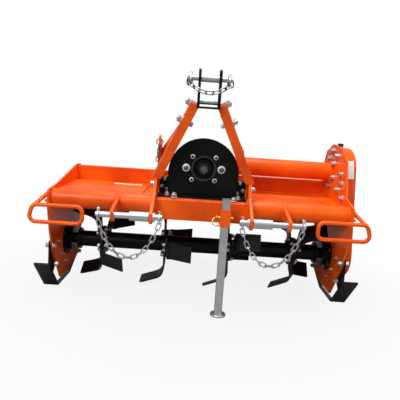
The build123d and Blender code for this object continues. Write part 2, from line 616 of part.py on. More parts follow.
def chains():
    """Chains under the lower pins and in front of the mast head, each hooked to a ring on either end of its pin."""
    ring_inner = (RING_R - LINK_WIRE / 2) * math.cos(math.pi / RING_SIDES)
    drop = ring_inner - SEAT_R - RING_CLEAR
    outer_x, inner_x = PIN_OUT - CLIP_INSET, PIN_IN + CLIP_INSET
    middle, half = (outer_x + inner_x) / 2, (outer_x - inner_x) / 2
    end = Vector(half, PIN_Y, PIN_Z - drop - RING_R)
    chain = hanging_chain(end, PIN_Y, LOWER_LINKS, Vector(0, 1, 0))
    rings = [pin_ring(x, PIN_Y, PIN_Z - drop) for x in (inner_x, outer_x)]
    save("pin_chain_right", *[Pos(middle, 0, 0) * piece for piece in chain])
    save("pin_chain_left", *[Pos(-middle, 0, 0) * piece for piece in chain])
    top_drop = ring_inner - TOP_PIN_R - RING_SLACK
    top_x = TOP_PIN_HALF - CLIP_INSET
    lean = math.radians(45)
    wire = Vector(0, math.cos(lean), -math.sin(lean))
    hook = Vector(top_x, EAR_Y - RING_R * math.sin(lean), TOP_PIN_Z - top_drop - RING_R * math.cos(lean))
    save("top_pin_chain", *hanging_chain(hook, EAR_Y - 38, TOP_LINKS, wire))
    top_rings = [pin_ring(x, EAR_Y, TOP_PIN_Z - top_drop) for x in (-top_x, top_x)]
    save("pin_rings", *rings, *[mirror_x(ring) for ring in rings], *top_rings)


rotor()
side_plates()
front_tube()
hood()
gearbox()
pto_shaft()
guard()
drive()
inner_brackets()
outer_brackets()
lower_pins()
front_plate()
mast()
stand()
skids()
hoops()
tailboard()
chains()

os.makedirs("parts", exist_ok=True)
for name, solids in nodes.items():
    shape = solids[0] if len(solids) == 1 else Compound(children=list(solids))
    export_step(shape, f"parts/{name}.step")
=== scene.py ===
"""Rotary tiller: paint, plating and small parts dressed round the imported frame, and the studio it is in."""
import json
import math

import bmesh
import bpy
from mathutils import Matrix, Vector


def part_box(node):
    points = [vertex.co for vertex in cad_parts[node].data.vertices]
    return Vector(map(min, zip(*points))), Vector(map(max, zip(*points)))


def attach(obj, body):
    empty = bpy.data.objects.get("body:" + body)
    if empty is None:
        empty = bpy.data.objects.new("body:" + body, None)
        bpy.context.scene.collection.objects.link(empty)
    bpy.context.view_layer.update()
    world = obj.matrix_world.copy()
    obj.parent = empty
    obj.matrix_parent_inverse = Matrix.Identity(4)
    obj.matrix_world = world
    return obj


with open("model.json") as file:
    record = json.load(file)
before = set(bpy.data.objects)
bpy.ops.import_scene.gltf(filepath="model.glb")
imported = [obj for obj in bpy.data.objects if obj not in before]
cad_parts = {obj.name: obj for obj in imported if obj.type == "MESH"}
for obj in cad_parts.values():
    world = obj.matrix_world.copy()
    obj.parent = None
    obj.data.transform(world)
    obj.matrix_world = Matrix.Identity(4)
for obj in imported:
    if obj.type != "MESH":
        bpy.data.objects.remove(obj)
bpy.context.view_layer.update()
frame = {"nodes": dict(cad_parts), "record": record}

bl_info = {
    "name": "Rotary Tiller",
    "version": (1, 0, 0),
    "blender": (4, 5, 0),
    "location": "3D View > Sidebar > Tiller",
    "description": "Dresses the frame of a rotary tiller and lights it",
    "category": "Add Mesh",
}

MM = 0.001
MACHINE, ROTOR = "frame", "rotor"
LEFT_RIGHT = (-1, 1)
EVEN = (1, 1, 1)
# Turns that lay a primitive's own Z axis along X and along Y.
ABOUT_X = (0, math.pi / 2, 0)
ABOUT_Y = (math.pi / 2, 0, 0)


# ---------------------------------------------------------------- materials

MATERIALS = {}


def linear(hex_colour):
    """An sRGB hex colour as linear red, green, blue and alpha."""
    parts = [int(hex_colour[i:i + 2], 16) / 255 for i in (1, 3, 5)]
    return (*[c / 12.92 if c <= 0.04045 else ((c + 0.055) / 1.055) ** 2.4 for c in parts], 1.0)


def add_node(tree, kind, inputs=None, stops=(), **settings):
    """Adds a node, sets its properties and ramp stops, and gives each input a value or a link."""
    node = tree.nodes.new(kind)
    for key, value in settings.items():
        setattr(node, key, value)
    for key, value in (inputs or {}).items():
        if isinstance(value, bpy.types.NodeSocket):
            tree.links.new(value, node.inputs[key])
        else:
            node.inputs[key].default_value = value
    for number, (place, hex_colour) in enumerate(stops):
        elements = node.color_ramp.elements
        element = elements[number] if number < len(elements) else elements.new(place)
        element.position, element.color = place, linear(hex_colour)
    return node


def new_material(name):
    """An empty node material and its tree."""
    material = bpy.data.materials.new(name)
    material.use_nodes = True
    material.node_tree.nodes.clear()
    return material, material.node_tree


def surface(name, tints, cloud, gloss=None, grain=None, edge_mm=0.0, **fixed):
    """A finish with one Principled shader.

    tints are the (place, hex colour) stops that the cloud runs through. cloud and grain are each a noise:
    its feature size in mm, detail, roughness and stretch. grain also has the strength and height in mm of
    its bump. gloss is the least and most roughness over the cloud. edge_mm rounds the look of the edges.
    The rest are set on the shader's own sockets.
    """
    material, tree = new_material(name)
    place = add_node(tree, "ShaderNodeTexCoord").outputs["Object"]
    noises = []
    for size_mm, detail, roughness, stretch in filter(None, (cloud, grain and grain[:4])):
        at = add_node(tree, "ShaderNodeMapping", {"Vector": place, "Scale": stretch})
        noises.append(add_node(tree, "ShaderNodeTexNoise", {
            "Vector": at.outputs[0], "Scale": 1 / (size_mm * MM), "Detail": detail, "Roughness": roughness,
        }).outputs["Fac"])
    inputs = {key.replace("_", " "): value for key, value in fixed.items()}
    ramp = add_node(tree, "ShaderNodeValToRGB", {"Fac": noises[0]}, stops=tints)
    inputs["Base Color"] = ramp.outputs["Color"]
    if gloss:
        inputs["Roughness"] = add_node(tree, "ShaderNodeMapRange", {
            "Value": noises[0], "From Min": 0.3, "From Max": 0.7, "To Min": gloss[0], "To Max": gloss[1],
        }).outputs[0]
    if grain:
        bump = {"Height": noises[1], "Strength": grain[4], "Distance": grain[5] * MM}
        if edge_mm:
            bump["Normal"] = add_node(tree, "ShaderNodeBevel", {"Radius": edge_mm * MM}, samples=4).outputs[0]
        inputs["Normal"] = add_node(tree, "ShaderNodeBump", bump).outputs[0]
    shader = add_node(tree, "ShaderNodeBsdfPrincipled", inputs)
    add_node(tree, "ShaderNodeOutputMaterial", {"Surface": shader.outputs[0]})
    return material


def zinc(name, dark, plain, light, roughness=0.34):
    """Zinc plating over drawn steel: pale, slightly cloudy, with fine drawing lines along Z."""
    return surface(name, ((0.3, dark), (0.5, plain), (0.72, light)), cloud=(20, 4.0, 0.6, EVEN),
                   grain=(1.6, 2.0, 0.5, (1, 1, 0.08), 0.12, 0.15), edge_mm=0.8,
                   gloss=(roughness - 0.05, roughness + 0.06), Metallic=0.85)


def make_materials(colour):
    """Every finish on the machine, under the name that its pieces ask for."""
    MATERIALS.update({
        # Gloss polyester powder coat on welded steel: even colour, edges rolled over by the coat, and a faint
        # orange peel, which is 1 to 2 mm across and is drawn at 3 so that it shows.
        "orange_paint": surface(
            "Orange powder coat",
            ((0.3, colour.orange_dark), (0.5, colour.orange), (0.75, colour.orange_light)),
            cloud=(160, 2.0, 0.5, EVEN), grain=(3.2, 1.0, 0.5, EVEN, 0.1, 0.2), edge_mm=1.2,
            gloss=(0.25, 0.36), Specular_IOR_Level=0.18),
        # Sprayed satin enamel, near black: broad soft highlights and a faint spray texture.
        "black_paint": surface(
            "Black satin enamel", ((0.35, "#060607"), (0.65, "#0E0E10")),
            cloud=(90, 3.0, 0.5, EVEN), grain=(2.4, 2.0, 0.5, EVEN, 0.15, 0.2), edge_mm=1.0,
            gloss=(0.28, 0.42), Specular_IOR_Level=0.14),
        # Forged boron steel dipped in thin black paint: blue-grey sheen, with the mill scale showing through.
        "tine_paint": surface(
            "Dipped forged steel", ((0.3, "#0D0D10"), (0.55, "#16161B"), (0.8, "#27272E")),
            cloud=(14, 5.0, 0.65, EVEN), grain=(3.0, 3.0, 0.5, EVEN, 0.3, 0.3), edge_mm=1.5,
            gloss=(0.28, 0.46), Specular_IOR_Level=0.25),
        # Electroplated zinc, clear passivated: bright and bluish, as on most of the fasteners and pins.
        "zinc_plate": zinc("Bright zinc plate", "#B0B3B6", "#B6B9BC", "#BFC2C4"),
        # The same, drawn nearly white as a painted highlight, with wide soft highlights from its roughness.
        "bright_washer": zinc("Bright washers", "#D4D6D8", "#DFE1E2", "#ECEDEE", 0.42),
        # The same, dull and grey, and darker still as painted shade on chain that hangs in shade, with a few
        # sharp glints.
        "dull_shaded_chain": zinc("Dulled plated chain", "#54575A", "#6A6D70", "#828588", 0.3),
        # Electroplated zinc, yellow passivated: straw gold.
        "yellow_zinc": zinc("Yellow passivated zinc", "#B08A34", "#C9A54C", "#D9BE72"),
        # Printed-label vinyl with nothing printed on it: pale, smooth, barely glossy.
        "blank_vinyl": surface(
            "Blank vinyl label", ((0.35, "#D9DADA"), (0.65, "#E2E3E3")), cloud=(20, 2.0, 0.5, EVEN),
            gloss=(0.3, 0.4)),
        # Machined and oiled steel: dark grey under an uneven film. On the guard's bolts its darkness is
        # partly painted shade.
        "bare_steel": surface(
            "Oiled machined steel", ((0.3, "#4B4A49"), (0.7, "#77757A")), cloud=(12, 4.0, 0.5, EVEN),
            gloss=(0.26, 0.42), Metallic=1.0),
        # Injection-moulded black nylon: spark-eroded grain, soft sheen.
        "black_plastic": surface(
            "Moulded black nylon", ((0.3, "#0A0A0B"), (0.7, "#121213")), cloud=(0.9, 2.0, 0.5, EVEN),
            grain=(0.9, 2.0, 0.5, EVEN, 0.2, 0.1), Roughness=0.5),
    })


# ---------------------------------------------------------------- modelling helpers

def clear_selection():
    """Leaves edit mode and deselects everything."""
    if bpy.context.object and bpy.context.object.mode != "OBJECT":
        bpy.ops.object.mode_set(mode="OBJECT")
    bpy.ops.object.select_all(action="DESELECT")


def only(piece):
    """Selects one object and makes it the active one."""
    clear_selection()
    piece.select_set(True)
    bpy.context.view_layer.objects.active = piece


def add(kind, **options):
    """Adds a mesh primitive, with its place and turn put into its mesh."""
    clear_selection()
    getattr(bpy.ops.mesh, f"primitive_{kind}_add")(**options)
    bpy.ops.object.transform_apply(location=True, rotation=True)
    return bpy.context.object


def choose(piece, kind, test=lambda item: True):
    """Goes into edit mode with only the faces, edges or verts that pass the test selected."""
    only(piece)
    bpy.ops.object.mode_set(mode="EDIT")
    bpy.ops.mesh.select_mode(type={"faces": "FACE", "edges": "EDGE", "verts": "VERT"}[kind])
    bpy.ops.mesh.select_all(action="DESELECT")
    shape = bmesh.from_edit_mesh(piece.data)
    for item in getattr(shape, kind):
        if test(item):
            item.select_set(True)
    shape.select_flush_mode()
    bmesh.update_edit_mesh(piece.data)


def done(piece):
    """Leaves edit mode."""
    bpy.ops.object.mode_set(mode="OBJECT")
    return piece


def top(face):
    """Does the face look up?"""
    return face.normal.z > 0.9


def bottom(face):
    """Does the face look down?"""
    return face.normal.z < -0.9


def raised(step, shrink=1.0):
    """Extrudes the selected faces by a step, and scales the new ones across."""
    bpy.ops.mesh.extrude_region_move(TRANSFORM_OT_translate={"value": step})
    bpy.ops.transform.resize(value=(shrink, shrink, 1))


def joined(pieces):
    """Joins pieces into the first one."""
    clear_selection()
    for piece in pieces:
        piece.select_set(True)
    bpy.context.view_layer.objects.active = pieces[0]
    bpy.ops.object.join()
    return bpy.context.object


def modified(piece, kind, **settings):
    """Adds a modifier and applies it."""
    only(piece)
    modifier = piece.modifiers.new(kind.title(), kind)
    for key, value in settings.items():
        setattr(modifier, key, value)
    bpy.ops.object.modifier_apply(modifier=modifier.name)
    return piece


def facing(direction):
    """The turn that points a part's Z along a direction."""
    return Vector(direction).to_track_quat("Z", "Y").to_matrix().to_4x4()


def repeated(master, matrices):
    """Copies a part to each matrix, each copy with its own mesh, and joins the copies."""
    copies = []
    for matrix in matrices:
        only(master)
        bpy.ops.object.duplicate()
        bpy.context.object.matrix_world = matrix
        copies.append(bpy.context.object)
    bpy.data.objects.remove(master)
    return joined(copies)


def spread(master, spots, twist=0.0, first=0.0):
    """Copies a part to each (place, direction), its Z along the direction and each turned on by a twist."""
    return repeated(master, [
        Matrix.Translation(place) @ facing(direction) @ Matrix.Rotation(first + number * twist, 4, "Z")
        for number, (place, direction) in enumerate(spots)])


def settled(piece, name, slot, finish=None, body=MACHINE, smooth_deg=35):
    """Names a finished piece, puts its place into its mesh, and gives it its finish, which is its slot's
    unless another is named, and its body.
    """
    only(piece)
    piece.name = piece.data.name = name
    bpy.ops.object.transform_apply(location=True, rotation=True, scale=True)
    bpy.ops.object.mode_set(mode="EDIT")
    bpy.ops.mesh.select_all(action="SELECT")
    bpy.ops.mesh.normals_make_consistent(inside=False)
    bpy.ops.object.mode_set(mode="OBJECT")
    bpy.ops.object.shade_smooth_by_angle(angle=math.radians(smooth_deg))
    piece.data.materials.clear()
    piece.data.materials.append(MATERIALS[finish or slot])
    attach(piece, body)


def fasten(name, part, spots, twist):
    """Spreads one zinc-plated fastener over its spots and settles them as a piece."""
    settled(spread(part, spots, twist), name, "zinc_plate")


def middle(node):
    """The middle of a node's box."""
    low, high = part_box(node)
    return (Vector(low) + Vector(high)) / 2


def round_tube(node):
    """The middle and the radius of a tube that runs along X."""
    low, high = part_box(node)
    return middle(node), (high[2] - low[2]) / 2


def bolt_circle(centre, radius, count, first_deg, outward):
    """Places and directions of bolts on a circle that faces along X or Y."""
    level = Vector((0, 1, 0)) if outward[0] else Vector((1, 0, 0))
    spots = []
    for step in range(count):
        angle = math.radians(first_deg + step * 360 / count)
        way = level * math.cos(angle) + Vector((0, 0, math.sin(angle)))
        spots.append((Vector(centre) + way * radius, outward))
    return spots


def case_edge(top_radius, low_radius, side):
    """The way from the chain case's middle line to its rim's straight part, in front (-1) or behind (1)."""
    run = middle("drive_tube") - middle("rotor_shaft")
    run.x = 0
    rise = (top_radius - low_radius) / run.length
    up = run.normalized()
    return Vector((0, up.z, -up.y)) * side * math.sqrt(1 - rise * rise) + up * rise


def washer(radius, thick):
    """Round washer standing on z = 0, its upper edge rolled."""
    piece = add("cylinder", vertices=24, radius=radius, depth=thick, location=(0, 0, thick / 2))
    choose(piece, "faces", top)
    bpy.ops.mesh.bevel(offset=thick * 0.35, segments=2, affect="EDGES")
    return done(piece)


def hexagon(across, height, base):
    """Hexagonal head standing on z = base, its crown turned off and left selected."""
    piece = add("cylinder", vertices=6, radius=across / math.sqrt(3), depth=height,
                location=(0, 0, base + height / 2))
    choose(piece, "faces", top)
    bpy.ops.mesh.inset(thickness=across * 0.09)
    bpy.ops.transform.translate(value=(0, 0, height * 0.12))
    bpy.ops.mesh.inset(thickness=across * 0.06)
    return piece


def bolt(across, washer_radius):
    """Hexagon-head bolt on its washer."""
    thick = across * 0.14
    plate = washer(washer_radius, thick)
    head = hexagon(across, across * 0.6, thick)
    bpy.ops.transform.translate(value=(0, 0, -across * 0.03))
    return joined([done(head), plate])


def nut(across, washer_radius):
    """Hexagon nut on its washer, with the end of the bolt's thread standing out of it."""
    thick = across * 0.14
    plate = washer(washer_radius, thick)
    body = hexagon(across, across * 0.5, thick)
    bpy.ops.mesh.inset(thickness=across * 0.06)
    for _ in range(2):
        raised((0, 0, across * 0.05), 0.92)
        raised((0, 0, across * 0.02), 1 / 0.92)
    raised((0, 0, across * 0.03), 0.8)
    return joined([done(body), plate])


def socket_screw(radius, washer_radius):
    """Cap screw on its washer: a round head with a socket sunk into it."""
    thick = radius * 0.25
    plate = washer(washer_radius, thick)
    head = add("cylinder", vertices=24, radius=radius, depth=radius, location=(0, 0, thick + radius / 2))
    choose(head, "faces", top)
    bpy.ops.mesh.inset(thickness=radius * 0.12)
    bpy.ops.transform.translate(value=(0, 0, radius * 0.1))
    bpy.ops.mesh.inset(thickness=radius * 0.3)
    raised((0, 0, -radius * 0.7))
    return joined([done(head), plate])


def wire_ring(radius, wire, around=36, across=10, **place):
    """A ring of round wire about Z, or about the axis that its rotation gives."""
    return add("torus", major_radius=radius, minor_radius=wire, major_segments=around, minor_segments=across,
               **place)


def bent_sheet(line, left, right, thick, rounding=0.0):
    """A sheet bent along a line of points, from one side to the other."""
    sheet = add("plane", size=1)
    choose(sheet, "verts", lambda vert: vert.co.y > 0)
    bpy.ops.mesh.delete(type="VERT")
    choose(sheet, "verts")
    bpy.ops.transform.translate(value=(0, 0.5, 0))
    bpy.ops.transform.resize(value=(right - left, 1, 1))
    bpy.ops.transform.translate(value=((left + right) / 2, line[0].y, line[0].z))
    for before, after in zip(line, line[1:]):
        bpy.ops.mesh.extrude_edges_move(TRANSFORM_OT_translate={"value": after - before})
    modified(done(sheet), "SOLIDIFY", thickness=thick, offset=0)
    if rounding:
        modified(sheet, "BEVEL", width=rounding, segments=2, limit_method="ANGLE")
    return sheet


# ---------------------------------------------------------------- properties

def text(name, description, default):
    """A property that holds a hex colour."""
    return bpy.props.StringProperty(name=name, description=description, default=default)


def length(name, description, default):
    """A property that holds a length in metres."""
    return bpy.props.FloatProperty(name=name, description=description, default=default, unit="LENGTH",
                                   precision=4)


def turn(name, description, degrees):
    """A property that holds an angle."""
    return bpy.props.FloatProperty(name=name, description=description, default=math.radians(degrees),
                                   subtype="ANGLE")


class TillerColours(bpy.types.PropertyGroup):
    orange_dark: text("Orange in shade", "Deeper orange of the powder coat", "#D24808")
    orange: text("Orange", "Main orange of the powder coat", "#E5570B")
    orange_light: text("Orange in light", "Lighter orange of the powder coat", "#EE6412")
    floor: text("Floor", "Colour of the studio floor", "#A6A6A4")


class FixingSizes(bpy.types.PropertyGroup):
    tiny_head: length("Tiny head", "Across flats of the M6 heads", 0.0119)
    cover_head: length("Cover head", "Across flats of the heads round covers", 0.0136)
    small_head: length("Small head", "Across flats of the M10 heads", 0.017)
    medium_head: length("Medium head", "Across flats of the M12 heads", 0.019)
    large_head: length("Large head", "Across flats of the M16 heads", 0.024)
    guard_bolt_x: length("Guard bolt half-width", "Half the width between the guard's small bolts", 0.047)
    guard_bolt_rise: length("Guard bolt half-height", "Half the height between those bolts", 0.047)
    guard_large_x: length("Guard nut half-width", "Half the width between the guard's large nuts", 0.072)
    case_bolt_pitch: length("Case bolt pitch", "Distance between bolts along the chain case's flange", 0.085)
    # The apron is a black sheet put where the deck lies in shade behind the guard: painted shade.
    shade_sheet_thick: length("Shade sheet", "Thickness of the guard's apron", 0.0025)
    shade_sheet_top: length("Shade sheet top", "Height of the apron's upper edge above the floor", 0.524)
    label_wide: length("Label width", "Width of the chain case label", 0.047)
    label_tall: length("Label height", "Height of the chain case label", 0.084)
    label_film: length("Label film", "Thickness of a label", 0.0004)


class StudioSizes(bpy.types.PropertyGroup):
    camera_x: length("Camera X", "Camera's place along the machine's width", -0.0356)
    camera_y: length("Camera Y", "Camera's place along the direction of travel", -1.9940)
    camera_z: length("Camera height", "Height of the camera above the floor", 0.7298)
    camera_yaw: turn("Camera yaw", "How far the camera looks to the right", 0.934)
    camera_pitch: turn("Camera pitch", "How far the camera looks down", 9.344)
    camera_roll: turn("Camera roll", "How far the camera leans", 3.853)
    camera_lens: bpy.props.FloatProperty(
        name="Camera lens", description="Focal length in millimetres on a 36 mm sensor", default=38.93)
    floor_radius: length("Floor radius", "Radius of the studio floor", 6.0)


# ---------------------------------------------------------------- operators

class TILLER_OT_finishes(bpy.types.Operator):
    """Paint, plating and bare steel on the frame's own parts"""
    bl_idname = "tiller.finishes"
    bl_label = "Finishes"

    def execute(self, context):
        make_materials(context.scene.tiller_colours)
        finishes = {part["node"]: part["material_slot"] for part in frame["record"]["subparts"]}
        # The top pin's chain hangs in shade, so its plating is drawn duller and darker than the pins': partly
        # painted shade.
        finishes["top_pin_chain"] = "dull_shaded_chain"
        for node, obj in frame["nodes"].items():
            obj.data.materials.clear()
            obj.data.materials.append(MATERIALS[finishes[node]])
        return {"FINISHED"}


class TILLER_OT_guard_shade_sheet(bpy.types.Operator):
    """Black sheet at the foot of the shaft guard, painted shade over the shaded deck: bent over the front
    tube, with a wing up to each bracket
    """
    bl_idname = "tiller.guard_apron"
    bl_label = "Guard apron"

    # Where the sheet follows the tube, in degrees forward of its top.
    LEANS_DEG = (30, 20, 10, 0, -12)
    # Where a wing starts, how far in front of the guard's back it stands, and its bend and lip.
    WING_X, WALL_INSET, BEND, LIP = 0.124, 0.016, 0.004, 0.012
    # Gaps to the guard and to the brackets, and the rounding of the sheet's edges.
    FOOT_GAP, EDGE_GAP, EDGE_ROLL = 0.0005, 0.0015, 0.0007
    # X and height of the bolts on a wing.
    BOLTS = ((0.158, 0.513), (0.171, 0.482), (0.150, 0.470))

    def execute(self, context):
        size = context.scene.tiller_fixings
        tube, tube_radius = round_tube("front_tube")
        radius = tube_radius + size.shade_sheet_thick
        over = [Vector((0, tube.y - radius * math.sin(lean), tube.z + radius * math.cos(lean)))
                for lean in map(math.radians, self.LEANS_DEG)]
        last = over[-1]
        guard_low, guard_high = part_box("pto_guard")
        wall, rim = guard_high[1] - self.WALL_INSET, size.shade_sheet_top
        foot = over + [Vector((0, guard_low[1] - self.FOOT_GAP, last.z))]
        wing = [last] + [Vector((0, y, z)) for y, z in (
            (wall - self.BEND, last.z - 0.0015), (wall, last.z + 0.003), (wall, rim - self.BEND),
            (wall + self.BEND, rim), (wall + self.LIP, rim))]
        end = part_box("inner_bracket_right")[0][0] - self.EDGE_GAP
        sheets = [bent_sheet(foot, -end, end, size.shade_sheet_thick, self.EDGE_ROLL)]
        for side in LEFT_RIGHT:
            left, right = sorted((side * self.WING_X, side * end))
            sheets.append(bent_sheet(wing, left, right, size.shade_sheet_thick, self.EDGE_ROLL))
        # Its black paint is painted shade on the deck between the guard and the brackets.
        settled(joined(sheets), "guard_apron", "black_paint")
        spots = [((side * x, wall - size.shade_sheet_thick / 2, z), (0, -1, 0))
                 for side in LEFT_RIGHT for x, z in self.BOLTS]
        fasten("apron_bolts", bolt(size.tiny_head, washer_radius=0.008), spots, 0.5)
        return {"FINISHED"}


class TILLER_OT_guard_fixings(bpy.types.Operator):
    """Bolts on the face of the shaft guard and along its foot"""
    bl_idname = "tiller.guard_fixings"
    bl_label = "Guard fixings"

    # X of each bolt on the front tube, and how many degrees it leans forward.
    FEET = ((-0.113, 24), (-0.143, 4), (0.146, 6), (0.128, 26))

    def execute(self, context):
        size = context.scene.tiller_fixings
        face, shaft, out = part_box("pto_guard")[0][1], middle("pto_shaft"), (0, -1, 0)
        small = [((side * size.guard_bolt_x, face, shaft.z + rise * size.guard_bolt_rise), out)
                 for side in LEFT_RIGHT for rise in (-1, 1)]
        large = [((side * size.guard_large_x, face, shaft.z), out) for side in LEFT_RIGHT]
        # The washers take the nearly white zinc, a painted highlight round each head.
        plates = [spread(washer(radius=0.0160, thick=0.0030), large),
                  spread(washer(radius=0.0094, thick=0.0016), small)]
        settled(joined(plates), "guard_washers", "zinc_plate", "bright_washer")
        # The heads take the darker oiled steel, which is partly painted shade in their sockets and round
        # their edges.
        screw = socket_screw(size.small_head * 0.38, washer_radius=size.small_head * 0.40)
        settled(spread(screw, small, 0.4), "guard_bolts_small", "bare_steel")
        ends = nut(size.large_head * 0.82, washer_radius=0.0112)
        settled(spread(ends, large, 0.3), "guard_bolts_large", "bare_steel")

        tube, tube_radius = round_tube("front_tube")
        feet = []
        for x, lean_deg in self.FEET:
            lean = math.radians(lean_deg)
            way = Vector((0, -math.sin(lean), math.cos(lean)))
            feet.append((Vector((x, tube.y, tube.z)) + way * (tube_radius + size.shade_sheet_thick), way))
        fasten("guard_foot_bolt", bolt(size.medium_head, washer_radius=0.0135), feet[:1], 0.5)
        fasten("guard_foot_nuts", nut(size.small_head, washer_radius=0.0115), feet[1:], 0.5)
        return {"FINISHED"}


class TILLER_OT_well_liner(bpy.types.Operator):
    """Black plastic liner of the well round the power shaft"""
    bl_idname = "tiller.well_liner"
    bl_label = "Well liner"

    WALL, LIP = 0.0012, 0.0515
    # From the lip inwards: each step out of the well, and the radius after it. The last is round the shaft.
    RINGS = ((0, 0.0470), (-0.0012, 0.0447), (-0.0588, 0.0447), (0, 0.0380), (0.004, 0.0340), (0, 0.0208))

    def execute(self, context):
        piece = add("circle", vertices=64, radius=self.LIP, fill_type="NOTHING")
        choose(piece, "edges")
        before = self.LIP
        for step, radius in self.RINGS:
            bpy.ops.mesh.extrude_edges_move(TRANSFORM_OT_translate={"value": (0, 0, step)})
            bpy.ops.transform.resize(value=(radius / before, radius / before, 1))
            before = radius
        modified(done(piece), "SOLIDIFY", thickness=self.WALL, offset=1)
        modified(piece, "BEVEL", width=self.WALL / 3, segments=2, limit_method="ANGLE")
        place = Matrix.Translation((0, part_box("pto_guard")[0][1] - self.WALL, middle("pto_shaft").z))
        piece.matrix_world = place @ Matrix.Rotation(math.pi / 2, 4, "X")
        settled(piece, "well_liner", "black_plastic")
        return {"FINISHED"}


class TILLER_OT_mast_bolts(bpy.types.Operator):
    """Bolts through the mast arms, with their nuts on the outside, and the nuts of the inner brackets"""
    bl_idname = "tiller.mast_bolts"
    bl_label = "Mast bolts"

    # The right arm's middle line, half its width, and how far up it each bolt is.
    FOOT, HEAD, HALF = Vector((0.193, -0.226, 0.520)), Vector((0.051, -0.310, 0.824)), 0.017
    SHARES = (0.77, 0.985)
    # Distance of each bracket nut from the bracket's rear edge and from its top.
    BRACKET_NUTS = ((0.082, 0.020), (0.030, 0.024))

    def execute(self, context):
        size = context.scene.tiller_fixings
        along = (self.HEAD - self.FOOT).normalized()
        across = (Vector((1, 0, 0)) - along * along.x).normalized()
        outside, inside = [], []
        for share in self.SHARES:
            centre = self.FOOT.lerp(self.HEAD, share)
            for side in LEFT_RIGHT:
                flip = Vector((side, 1, 1))
                outside.append(((centre + across * self.HALF) * flip, across * flip))
                inside.append(((centre - across * self.HALF) * flip, -across * flip))
        fasten("mast_nuts", nut(size.large_head, washer_radius=0.0155), outside, 0.5)
        # The upper bolts end inside the mast head, so only the lower two show their heads.
        fasten("mast_bolt_heads", bolt(size.small_head, washer_radius=0.0125), inside[:2], 0.5)
        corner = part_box("inner_bracket_right")[1]
        spots = [((side * corner[0], corner[1] - back, corner[2] - drop), (side, 0, 0))
                 for side in LEFT_RIGHT for back, drop in self.BRACKET_NUTS]
        fasten("bracket_nuts", nut(size.medium_head, washer_radius=0.0135), spots, 0.5)
        return {"FINISHED"}


